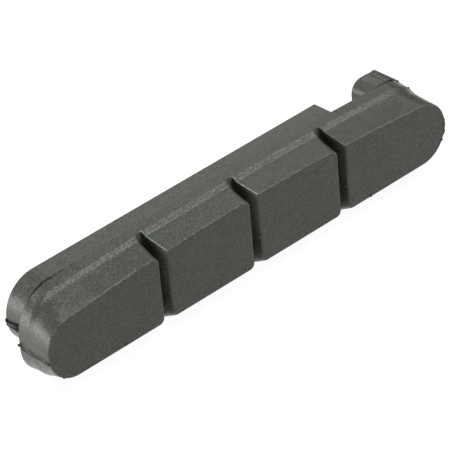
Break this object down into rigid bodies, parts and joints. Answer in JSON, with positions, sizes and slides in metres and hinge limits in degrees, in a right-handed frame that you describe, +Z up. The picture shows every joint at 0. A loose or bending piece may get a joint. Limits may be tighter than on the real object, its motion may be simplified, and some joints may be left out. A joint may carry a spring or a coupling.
{
  "type": "bicycle rim brake pad",
  "caption": "Moulded rubber rim brake pad insert with an arched, grooved friction block, a bearing shoulder and a tongue with a screw gap that slides into a holder.",
  "frame": {"origin": "on the back face of the tongue, at mid length of the friction face and on the parting plane", "axes": "+X along the pad towards the screw end, +Y from the friction face towards the holder, +Z up towards the arched edge"},
  "size_m": [0.0552, 0.0086, 0.0104],
  "materials": {
    "rubber": "matte, as moulded"
  },
  "bodies": {
    "root": {"brake_pad": "rubber"}
  },
  "joints": []
}
